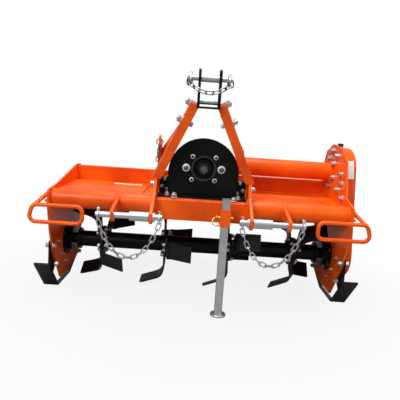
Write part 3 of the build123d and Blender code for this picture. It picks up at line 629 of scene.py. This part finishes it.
class TILLER_OT_plate_bolts(bpy.types.Operator):
    """Bolts of the chain case, the end bearings, the hoops and the skid tabs"""
    bl_idname = "tiller.plate_bolts"
    bl_label = "Side plate bolts"

    # Y and Z of bolts inside the right plate, from the drive tube's middle.
    INNER = ((-0.168, 0.002), (-0.184, -0.036), (-0.206, -0.096), (-0.136, -0.070), (-0.070, -0.140),
             (-0.016, 0.100), (-0.090, 0.078))
    TUBE_CIRCLE, BEARING_CIRCLE, CAP_CIRCLE = 0.065, 0.064, 0.045
    # The chain case's flange: how far out of the plate it is, and its bolt line's radius round each shaft.
    FLANGE_OUT, TOP_RADIUS, LOW_RADIUS, ROUND_BOLTS = 0.016, 0.122, 0.107, 5
    # Y and Z of the bolts along the front edges, of the hoops' roots and, from the rotor, of the skid tabs.
    WEAR = ((-0.128, 0.145), (-0.071, 0.094), (-0.174, 0.213))
    HOOP_ROOT = (-0.284, 0.409)
    TABS = ((-0.206, 0.212), (-0.178, 0.124), (0.160, 0.112), (0.180, 0.078))
    # Thickness of a plate, of a plate and its tab, and of the bearing cap outside its bolts.
    SHEET, TAB, CAP_STEP = 0.008, 0.014, 0.006

    def execute(self, context):
        size = context.scene.tiller_fixings
        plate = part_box("side_plate_right")[0][0]
        drive, rotor = middle("drive_tube"), middle("rotor_shaft")
        inwards = (-1, 0, 0)
        inner = [((plate, drive.y + y, drive.z + z), inwards) for y, z in self.INNER]
        inner += bolt_circle((plate, drive.y, drive.z), self.TUBE_CIRCLE, 6, 20, inwards)
        fasten("plate_bolts_right", bolt(size.medium_head, washer_radius=0.0135), inner, 0.3)

        rim = [(spot, (1, 0, 0)) for spot in self.case_rim(plate, drive, rotor, size.case_bolt_pitch)]
        fasten("case_bolts", bolt(size.cover_head, washer_radius=0.0085), rim, 0.4)

        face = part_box("rotor_bearings")[1][0] - self.SHEET
        housing = []
        for side in (1, -1):
            housing += bolt_circle((side * face, rotor.y, rotor.z), self.BEARING_CIRCLE, 6, 30, (side, 0, 0))
        fasten("bearing_bolts", bolt(size.small_head, washer_radius=0.0105), housing, 0.4)
        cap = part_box("bearing_cap")[0][0] + self.CAP_STEP
        spots = bolt_circle((cap, rotor.y, rotor.z), self.CAP_CIRCLE, 5, 18, inwards)
        fasten("cap_bolts", bolt(size.cover_head, washer_radius=0.0085), spots, 0.4)

        wear = [((side * plate, y, z), (-side, 0, 0)) for side in LEFT_RIGHT for y, z in self.WEAR]
        fasten("wear_bolts", bolt(size.tiny_head, washer_radius=0.0085), wear, 0.5)
        roots = [((side * (plate + self.SHEET), *self.HOOP_ROOT), (side, 0, 0)) for side in LEFT_RIGHT]
        fasten("hoop_bolts", bolt(size.small_head, washer_radius=0.0115), roots, 0.5)

        tabs = [(side, rotor.y + y, z) for side in LEFT_RIGHT for y, z in self.TABS]
        heads = [((side * (plate + self.TAB), y, z), (side, 0, 0)) for side, y, z in tabs]
        nuts = [((side * plate, y, z), (-side, 0, 0)) for side, y, z in tabs]
        fasten("skid_bolts", bolt(size.medium_head, washer_radius=0.0125), heads, 0.4)
        fasten("skid_nuts", nut(size.medium_head, washer_radius=0.0125), nuts, 0.4)
        return {"FINISHED"}

    def case_rim(self, plate, drive, rotor, pitch):
        """Places of the bolts along the chain case's flange: round both ends, then up both straight edges."""
        flange = plate + self.FLANGE_OUT
        upper, lower = Vector((flange, drive.y, drive.z)), Vector((flange, rotor.y, rotor.z))
        up = (upper - lower).normalized()
        back = Vector((0, up.z, -up.y))
        places = []
        for centre, radius, outward in ((upper, self.TOP_RADIUS, up), (lower, self.LOW_RADIUS, -up)):
            for step in range(self.ROUND_BOLTS):
                angle = math.pi * (step + 0.5) / self.ROUND_BOLTS
                places.append(centre + (back * math.cos(angle) + outward * math.sin(angle)) * radius)
        for side in LEFT_RIGHT:
            edge = case_edge(self.TOP_RADIUS, self.LOW_RADIUS, side)
            start, end = lower + edge * self.LOW_RADIUS, upper + edge * self.TOP_RADIUS
            count = int((end - start).length / pitch)
            places += [start.lerp(end, (step + 0.5) / count) for step in range(count)]
        return places


class TILLER_OT_gearbox_bolts(bpy.types.Operator):
    """Bolts round the covers of the gearbox"""
    bl_idname = "tiller.gearbox_bolts"
    bl_label = "Gearbox bolts"

    LEFT_CIRCLE, TUBE_CIRCLE, REAR_CIRCLE = 0.058, 0.055, 0.047
    # How far the left cover's middle is in front of the drive tube's, and the thickness of the tube's flange.
    LEFT_AHEAD, TUBE_FLANGE = 0.040, 0.012

    def execute(self, context):
        size = context.scene.tiller_fixings
        low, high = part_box("gearbox")
        drive, shaft = middle("drive_tube"), middle("pto_shaft")
        tube_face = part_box("drive_tube")[0][0] + self.TUBE_FLANGE
        circles = (
            bolt_circle((low[0], drive.y - self.LEFT_AHEAD, drive.z), self.LEFT_CIRCLE, 6, 0, (-1, 0, 0)),
            bolt_circle((tube_face, drive.y, drive.z), self.TUBE_CIRCLE, 6, 0, (1, 0, 0)),
            bolt_circle((shaft.x, high[1], shaft.z), self.REAR_CIRCLE, 6, 0, (0, 1, 0)))
        spots = [spot for step in zip(*circles) for spot in step]
        fasten("gearbox_bolts", bolt(size.cover_head, washer_radius=0.0085), spots, 0.4)
        return {"FINISHED"}


class TILLER_OT_tine_bolts(bpy.types.Operator):
    """Two bolts and nuts through each tine and its flange"""
    bl_idname = "tiller.tine_bolts"
    bl_label = "Tine bolts"

    FLANGES, TINES = 4, 4
    FIRST_DEG, FLANGE_STEP_DEG = 120, 22.5
    # A tine's two bolts: half their distance, and how far they are from the rotor's middle line.
    HALF_PITCH, REACH = 0.013, 0.052
    # Faces of the tine and of the flange behind it, from the flange's middle.
    TINE_FACE, FLANGE_FACE = 0.013, 0.005

    def execute(self, context):
        size = context.scene.tiller_fixings
        for flange in range(self.FLANGES):
            centre = middle(f"tine_flange_{flange + 1}")
            heads, nuts = [], []
            for tine in range(self.TINES):
                side = 1 if tine % 2 == 0 else -1
                angle = math.radians(self.FIRST_DEG - flange * self.FLANGE_STEP_DEG + tine * 360 / self.TINES)
                for y in (-self.HALF_PITCH, self.HALF_PITCH):
                    spot = centre + Matrix.Rotation(angle, 3, "X") @ Vector((0, y, self.REACH))
                    heads.append((spot + Vector((side * self.TINE_FACE, 0, 0)), (side, 0, 0)))
                    nuts.append((spot - Vector((side * self.FLANGE_FACE, 0, 0)), (-side, 0, 0)))
            parts = [spread(bolt(size.small_head, washer_radius=0.0095), heads, 0.4),
                     spread(nut(size.small_head, washer_radius=0.0095), nuts, 0.4)]
            settled(joined(parts), f"tine_bolts_{flange + 1}", "zinc_plate", body=ROTOR)
        return {"FINISHED"}


class TILLER_OT_pin_locks(bpy.types.Operator):
    """Linch pins at the outer ends of the hitch pins, and split pins at their inner ends"""
    bl_idname = "tiller.pin_locks"
    bl_label = "Pin locks"

    # Distance of a lock from its pin's end, and the frame's pull rings.
    INSET, RING, RING_WIRE = 0.011, 0.020, 0.002
    # How far a split pin's eye is above the middle of a lower pin and of the top pin.
    LOWER_EYE, UPPER_EYE = 0.014, 0.013

    def execute(self, context):
        low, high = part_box("lower_pin_right")
        top_low, top_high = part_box("top_pin")
        rings_low, rings_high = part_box("pin_rings")
        lower, upper = middle("lower_pin_right"), middle("top_pin")
        lower_ring = rings_low[2] + self.RING + self.RING_WIRE
        upper_ring = rings_high[2] - self.RING - self.RING_WIRE
        linches = [(side * (high[0] - self.INSET), lower.y, lower_ring) for side in LEFT_RIGHT]
        linches.append((top_high[0] - self.INSET, upper.y, upper_ring))
        settled(repeated(self.linch_pin(), map(Matrix.Translation, linches)), "linch_pins", "zinc_plate")
        splits = [(side * (low[0] + self.INSET), lower.y, lower.z + self.LOWER_EYE) for side in LEFT_RIGHT]
        splits.append((top_low[0] + self.INSET, upper.y, upper.z + self.UPPER_EYE))
        settled(repeated(self.split_pin(), map(Matrix.Translation, splits)), "split_pins", "zinc_plate")
        return {"FINISHED"}

    def linch_pin(self):
        """Round pin with a drawn-in point, and a block head that the ring passes through."""
        radius, point, block = 0.0045, 0.0025, (0.013, 0.017, 0.019)
        shaft = add("cylinder", vertices=20, radius=radius, depth=2 * self.RING - 0.006,
                    location=(0, 0, -0.002))
        choose(shaft, "faces", bottom)
        raised((0, 0, -point), 0.45)
        done(shaft)
        head = add("cube", size=1, location=(0, 0, self.RING + 0.003), scale=block)
        choose(head, "faces", top)
        bpy.ops.transform.resize(value=(0.8, 0.7, 1))
        modified(done(head), "BEVEL", width=0.003, segments=3, limit_method="ANGLE")
        return joined([shaft, head])

    def split_pin(self):
        """Eye and two legs of half-round wire, the legs' ends spread."""
        wire, eye, leg_long, leg_apart, step_out, step_down = 0.0016, 0.0048, 0.026, 0.0017, 0.0022, 0.0018
        pieces = [wire_ring(eye, wire, around=20, across=8, rotation=ABOUT_Y, location=(0, 0, 0.0045))]
        for side in LEFT_RIGHT:
            leg = add("cylinder", vertices=10, radius=wire, depth=leg_long,
                      location=(side * leg_apart, 0, -leg_long / 2))
            choose(leg, "faces", bottom)
            for _ in range(3):
                raised((side * step_out, 0, -step_down))
            pieces.append(done(leg))
        return joined(pieces)


class TILLER_OT_post_chain(bpy.types.Operator):
    """Ring and loose end of chain at the top of the brace post, and the rings on the top pin's ends"""
    bl_idname = "tiller.post_chain"
    bl_label = "Post chain"

    # The post's hole: in from its left face, below its top and behind its front edge, and its grommets.
    HOLE_IN, HOLE_DROP, HOLE_BACK, GROMMET_OUT = 0.005, 0.016, 0.007, 0.0052
    RING, RING_WIRE, RING_HANG = 0.0145, 0.0026, Vector((0, -0.42, -0.91)).normalized()
    LINKS, PITCH, LINK_HALF, LINK_WIRE = 4, 0.0185, 0.0062, 0.0021
    # Slack on the ring, the first link's share of a pitch, and the way that the chain hangs.
    SLACK, FIRST_SHARE, CHAIN_WAY = 0.001, 0.42, Vector((-0.10, -0.02, -0.99)).normalized()
    # The rings on the top pin: radius and wire, how far in from its ends, and how far below its middle.
    END_RING, END_WIRE, END_IN, END_DROP = 0.0190, 0.0028, 0.008, 0.0085
    # Side, twist about Z and swing of the ring at each end of the top pin.
    END_TURNS_DEG = ((-1, 62, 12), (1, 50, -16))

    def execute(self, context):
        low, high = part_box("brace_post")
        height = high[2] - self.HOLE_DROP
        hole = Vector((low[0] + self.HOLE_IN, self.front_edge(height) + self.HOLE_BACK, height))
        centre = hole + self.RING_HANG * self.RING
        ring = wire_ring(self.RING, self.RING_WIRE)
        stand = Vector((1, 0, 0)).cross(self.RING_HANG).to_track_quat("Z", "X").to_matrix().to_4x4()
        ring.matrix_world = Matrix.Translation(centre) @ stand
        start = centre + self.RING_HANG * (self.RING + self.SLACK)
        spots = [(start + self.CHAIN_WAY * (self.PITCH * (number + self.FIRST_SHARE)), -self.CHAIN_WAY)
                 for number in range(self.LINKS)]
        links = spread(self.link(), spots, twist=math.radians(90), first=math.radians(20))
        # The ring and links take the dull chain zinc, whose darkness is partly painted shade.
        settled(joined([ring, links]), "post_chain", "zinc_plate", "dull_shaded_chain")

        grommets = [(hole + Vector((side * self.GROMMET_OUT, 0, 0)), (side, 0, 0)) for side in LEFT_RIGHT]
        settled(spread(washer(radius=0.0062, thick=0.0012), grommets), "post_grommets", "zinc_plate")

        pin, end = middle("top_pin"), abs(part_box("top_pin")[0][0]) - self.END_IN
        places = []
        for side, twist_deg, swing_deg in self.END_TURNS_DEG:
            twist = Matrix.Rotation(math.radians(twist_deg), 4, "Z")
            swing = Matrix.Rotation(math.radians(90 + swing_deg), 4, "X")
            places.append(Matrix.Translation((side * end, pin.y, pin.z - self.END_DROP)) @ twist @ swing)
        rings = repeated(wire_ring(self.END_RING, self.END_WIRE, around=40), places)
        # These rings take the same dull chain zinc, partly painted shade.
        settled(rings, "chain_end_rings", "zinc_plate", "dull_shaded_chain")
        return {"FINISHED"}

    def front_edge(self, height):
        """Where the post's front edge is, near a height."""
        post = frame["nodes"]["brace_post"]
        return min(vert.co.y for vert in post.data.vertices if vert.co.z > height - 0.05)

    def link(self):
        """One long welded link, its length along Z."""
        link = wire_ring(self.LINK_HALF, self.LINK_WIRE, around=24, across=8, rotation=ABOUT_Y)
        longer = self.PITCH / 2 + self.LINK_WIRE - self.LINK_HALF
        for side in LEFT_RIGHT:
            choose(link, "verts", lambda vert: side * vert.co.z > 1e-5)
            bpy.ops.transform.translate(value=(0, 0, side * longer))
        return done(link)


class TILLER_OT_stand_lock(bpy.types.Operator):
    """Lock pin through the collar of the parking stand, with its knob and pull ring"""
    bl_idname = "tiller.stand_lock"
    bl_label = "Stand lock"

    # Radii of the rod, the knob, the pull ring and its wire, and the knob's distance from the collar.
    ROD, KNOB, PULL, PULL_WIRE, KNOB_OUT = 0.0055, 0.0085, 0.0165, 0.0021, 0.013
    PULL_AHEAD, PULL_LEAN, PULL_TWIST = 0.004, math.radians(68), math.radians(24)

    def execute(self, context):
        collar_low, collar_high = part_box("stand_collar")
        left, right = collar_low[0], collar_high[0]
        leg, height = middle("stand_leg"), middle("stand_collar").z
        rod = add("cylinder", vertices=20, radius=self.ROD, depth=right - left + 2 * self.KNOB_OUT,
                  location=((left + right) / 2, leg.y, height), rotation=ABOUT_X)
        choose(rod, "faces", lambda face: abs(face.normal.x) > 0.9)
        bpy.ops.mesh.bevel(offset=0.0015, segments=2, affect="EDGES")
        done(rod)
        knob_x = left - self.KNOB_OUT
        knob = add("uv_sphere", segments=16, ring_count=10, radius=self.KNOB,
                   location=(knob_x, leg.y, height), scale=(0.7, 1, 1))
        pull = wire_ring(self.PULL, self.PULL_WIRE, rotation=(self.PULL_LEAN, 0, self.PULL_TWIST),
                         location=(knob_x, leg.y - self.PULL_AHEAD, height - self.PULL))
        settled(joined([rod, knob, pull]), "stand_lock_pin", "zinc_plate", "yellow_zinc")
        return {"FINISHED"}


class TILLER_OT_blank_labels(bpy.types.Operator):
    """Bare labels on the chain case and on the deck's cover"""
    bl_idname = "tiller.blank_labels"
    bl_label = "Blank labels"

    # The chain case's rim: radii round its two shafts, and its middle from its inner face.
    TOP_RADIUS, LOW_RADIUS, CASE_MIDDLE = 0.115, 0.100, 0.0385
    LIFT, STEPS, SHARE_OVER = 0.0003, 6, 0.4
    # The cover's label: its size, its corners' radius, and its middle from the cover's far right corner.
    COVER_LABEL, COVER_ROUND, COVER_FROM = (0.130, 0.028, 1), 0.004, Vector((-0.095, -0.040, 0))

    def execute(self, context):
        size = context.scene.tiller_fixings
        # The label lies on the straight front of the case's rim and bends over its rounded top.
        drive, radius = middle("drive_tube"), self.TOP_RADIUS + self.LIFT
        drive.x = 0
        front = case_edge(self.TOP_RADIUS, self.LOW_RADIUS, -1)
        down = Vector((0, -front.z, front.y))
        over = size.label_tall * self.SHARE_OVER
        line = []
        for step in range(self.STEPS, -1, -1):
            angle = over / self.TOP_RADIUS * step / self.STEPS
            line.append(drive + (front * math.cos(angle) - down * math.sin(angle)) * radius)
        line.append(line[-1] + down * (size.label_tall - over))
        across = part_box("chain_case")[0][0] + self.CASE_MIDDLE
        strip = bent_sheet(line, across - size.label_wide / 2, across + size.label_wide / 2, size.label_film)
        settled(strip, "case_label", "black_plastic", "blank_vinyl")

        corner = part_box("deck_cover")[1]
        plate = add("plane", size=1)
        choose(plate, "verts")
        bpy.ops.transform.resize(value=self.COVER_LABEL)
        bpy.ops.mesh.bevel(offset=self.COVER_ROUND, segments=4, affect="VERTICES")
        modified(done(plate), "SOLIDIFY", thickness=size.label_film, offset=0)
        plate.location = Vector(corner) + self.COVER_FROM + Vector((0, 0, self.LIFT))
        settled(plate, "cover_label", "black_plastic", "blank_vinyl")
        return {"FINISHED"}


class TILLER_OT_welds(bpy.types.Operator):
    """Weld beads round the front tube and the drive tube"""
    bl_idname = "tiller.welds"
    bl_label = "Welds"

    # Ripples are 4 steps apart. A bead's middle is off the plate beside it, and just above its tube.
    STEP, OFF, RISE = 0.0022, 0.002, 0.001
    # The front tube's beads: their thickness, how far back those of the outer brackets reach from the tube's
    # middle, and how far the one inside a bracket is from its outside.
    TUBE_BEAD, FRONT_FROM, BRACKET_IN = 0.0032, -0.012, 0.014
    # Radius and thickness of the bead at the drive tube's end, and of the turned seam along it.
    DRIVE_BEAD, DRIVE_IN = (0.0435, 0.004), 0.007
    SEAM, SEAM_X = (0.0417, 0.0014), 0.452

    def execute(self, context):
        tube, radius = round_tube("front_tube")
        drive = middle("drive_tube")
        inner_low, inner_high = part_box("inner_bracket_right")
        outer, tube_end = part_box("outer_brackets")[1][0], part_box("front_tube")[1][0]
        whole = self.bead(radius + self.RISE, self.TUBE_BEAD)
        front = self.bead(radius + self.RISE, self.TUBE_BEAD)
        choose(front, "verts", lambda vert: vert.co.y > self.FRONT_FROM)
        bpy.ops.mesh.delete(type="VERT")
        done(front)
        pieces = []
        for bead, places in (
            (whole, (inner_low[0] - self.OFF, inner_high[0] + self.OFF, tube_end - self.OFF)),
            (front, (outer + self.OFF, outer - self.BRACKET_IN)),
        ):
            pieces.append(repeated(bead, [Matrix.Translation((side * x, tube.y, tube.z))
                                          for x in places for side in LEFT_RIGHT]))
        drive_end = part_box("drive_tube")[1][0] - self.DRIVE_IN
        for sizes, x in ((self.DRIVE_BEAD, drive_end), (self.SEAM, self.SEAM_X)):
            bead = self.bead(*sizes)
            bead.location = (x, drive.y, drive.z)
            pieces.append(bead)
        settled(joined(pieces), "weld_beads", "orange_paint", smooth_deg=70)
        return {"FINISHED"}

    def bead(self, radius, thick):
        """A rippled ring about X."""
        steps = int(2 * math.pi * radius / self.STEP) // 2 * 2
        step = 2 * math.pi / steps
        bead = wire_ring(radius, thick, around=steps, across=8, rotation=ABOUT_X)
        choose(bead, "verts", lambda vert: round(math.atan2(vert.co.y, vert.co.z) / step) % 4 == 0)
        bpy.ops.transform.resize(value=(1.12, 1.012, 1.012))
        return done(bead)


class TILLER_OT_studio(bpy.types.Operator):
    """Floor, lamps, world and camera"""
    bl_idname = "tiller.studio"
    bl_label = "Studio"

    # Name, place, height that it aims at, width and watts of each lamp.
    LAMPS = (
        ("Key softbox", (-1.6, -2.4, 2.6), 0.4, 1.6, 86),
        ("Fill softbox", (2.3, -1.9, 1.7), 0.4, 1.4, 26),
        ("Overhead softbox", (0, -0.2, 2.9), 0.3, 1.6, 68),
    )

    def execute(self, context):
        scene = context.scene
        self.floor(scene.tiller_studio.floor_radius, scene.tiller_colours.floor)
        for name, at, aim_z, wide, watts in self.LAMPS:
            bpy.ops.object.light_add(type="AREA", location=at)
            lamp = context.object
            lamp.name = name
            lamp.data.size = wide
            lamp.data.energy = watts
            lamp.rotation_euler = (Vector((0, 0, aim_z)) - Vector(at)).to_track_quat("-Z", "Y").to_euler()
        self.world(scene)
        scene.view_settings.view_transform = "Standard"
        self.camera(scene, scene.tiller_studio)
        return {"FINISHED"}

    def floor(self, radius, colour):
        """Matt painted floor that the camera sees fade to white away from the machine."""
        floor = add("circle", vertices=96, radius=radius, fill_type="NGON")
        floor.name = "studio_floor"
        material, tree = new_material("Painted studio floor")
        place = add_node(tree, "ShaderNodeTexCoord").outputs["Object"]
        away = add_node(tree, "ShaderNodeVectorMath", {0: place}, operation="LENGTH").outputs["Value"]
        far = add_node(tree, "ShaderNodeMapRange", {
            "Value": away, "From Min": 0.5, "From Max": 1.4, "To Min": 0.87, "To Max": 1.0}).outputs[0]
        seen = add_node(tree, "ShaderNodeLightPath").outputs["Is Camera Ray"]
        fade = add_node(tree, "ShaderNodeMath", {0: far, 1: seen}, operation="MULTIPLY").outputs[0]
        paint = add_node(tree, "ShaderNodeBsdfDiffuse", {"Color": linear(colour)}).outputs[0]
        white = add_node(tree, "ShaderNodeEmission", {"Color": (1, 1, 1, 1), "Strength": 1.0}).outputs[0]
        both = add_node(tree, "ShaderNodeMixShader", {0: fade, 1: paint, 2: white}).outputs[0]
        add_node(tree, "ShaderNodeOutputMaterial", {"Surface": both})
        floor.data.materials.append(material)

    def world(self, scene):
        """White to the camera, a bright ceiling over dimmer walls to shiny paint, and dim to matt paint."""
        world = bpy.data.worlds.new("Studio")
        scene.world = world
        world.use_nodes = True
        tree = world.node_tree
        tree.nodes.clear()
        path = add_node(tree, "ShaderNodeLightPath").outputs
        shiny = add_node(tree, "ShaderNodeMath", {
            0: path["Is Glossy Ray"], 1: path["Is Transmission Ray"]}, operation="MAXIMUM").outputs[0]
        way = add_node(tree, "ShaderNodeTexCoord").outputs["Generated"]
        above = add_node(tree, "ShaderNodeSeparateXYZ", {0: way}).outputs["Z"]
        ceiling = add_node(tree, "ShaderNodeMapRange", {
            "Value": above, "From Min": -0.1, "From Max": 0.75, "To Min": 0.22, "To Max": 1.0}).outputs[0]
        ambient = add_node(tree, "ShaderNodeMapRange", {
            "Value": shiny, "From Min": 0, "From Max": 1, "To Min": 0.16, "To Max": ceiling}).outputs[0]
        level = add_node(tree, "ShaderNodeMath", {
            0: path["Is Camera Ray"], 1: ambient}, operation="MAXIMUM").outputs[0]
        light = add_node(tree, "ShaderNodeBackground", {"Color": (1, 1, 1, 1), "Strength": level}).outputs[0]
        add_node(tree, "ShaderNodeOutputWorld", {"Surface": light})

    def camera(self, scene, size):
        """Camera at its place, turned by yaw, pitch and roll."""
        yaw, pitch, roll = size.camera_yaw, size.camera_pitch, size.camera_roll
        ahead = Vector((math.sin(yaw) * math.cos(pitch), math.cos(yaw) * math.cos(pitch), -math.sin(pitch)))
        level_right = Vector((math.cos(yaw), -math.sin(yaw), 0))
        level_up = level_right.cross(ahead)
        right = math.cos(roll) * level_right + math.sin(roll) * level_up
        up = -math.sin(roll) * level_right + math.cos(roll) * level_up
        bpy.ops.object.camera_add(location=(0, 0, 0))
        camera = bpy.context.object
        camera.matrix_world = Matrix((
            (right.x, up.x, -ahead.x, size.camera_x),
            (right.y, up.y, -ahead.y, size.camera_y),
            (right.z, up.z, -ahead.z, size.camera_z),
            (0, 0, 0, 1),
        ))
        camera.data.sensor_width = 36
        camera.data.lens = size.camera_lens
        scene.camera = camera


class TILLER_PT_panel(bpy.types.Panel):
    """Lists the steps that dress the machine"""
    bl_idname = "TILLER_PT_panel"
    bl_label = "Rotary tiller"
    bl_space_type = "VIEW_3D"
    bl_region_type = "UI"
    bl_category = "Tiller"

    def draw(self, context):
        for operator in OPERATORS:
            self.layout.operator(operator.bl_idname)
        for group_name in GROUPS:
            group = getattr(context.scene, group_name)
            for name in group.__annotations__:
                self.layout.prop(group, name)


OPERATORS = (
    TILLER_OT_finishes, TILLER_OT_guard_shade_sheet, TILLER_OT_guard_fixings, TILLER_OT_well_liner,
    TILLER_OT_mast_bolts, TILLER_OT_plate_bolts, TILLER_OT_gearbox_bolts, TILLER_OT_tine_bolts,
    TILLER_OT_pin_locks, TILLER_OT_post_chain, TILLER_OT_stand_lock, TILLER_OT_blank_labels,
    TILLER_OT_welds, TILLER_OT_studio,
)
GROUPS = {"tiller_colours": TillerColours, "tiller_fixings": FixingSizes, "tiller_studio": StudioSizes}


def register():
    for cls in (*GROUPS.values(), *OPERATORS, TILLER_PT_panel):
        bpy.utils.register_class(cls)
    for name, group in GROUPS.items():
        setattr(bpy.types.Scene, name, bpy.props.PointerProperty(type=group))


def unregister():
    for name in GROUPS:
        delattr(bpy.types.Scene, name)
    for cls in (TILLER_PT_panel, *reversed(OPERATORS), *GROUPS.values()):
        bpy.utils.unregister_class(cls)


def main():
    register()
    for operator in OPERATORS:
        group, name = operator.bl_idname.split(".")
        getattr(getattr(bpy.ops, group), name)()


if __name__ == "__main__":
    main()
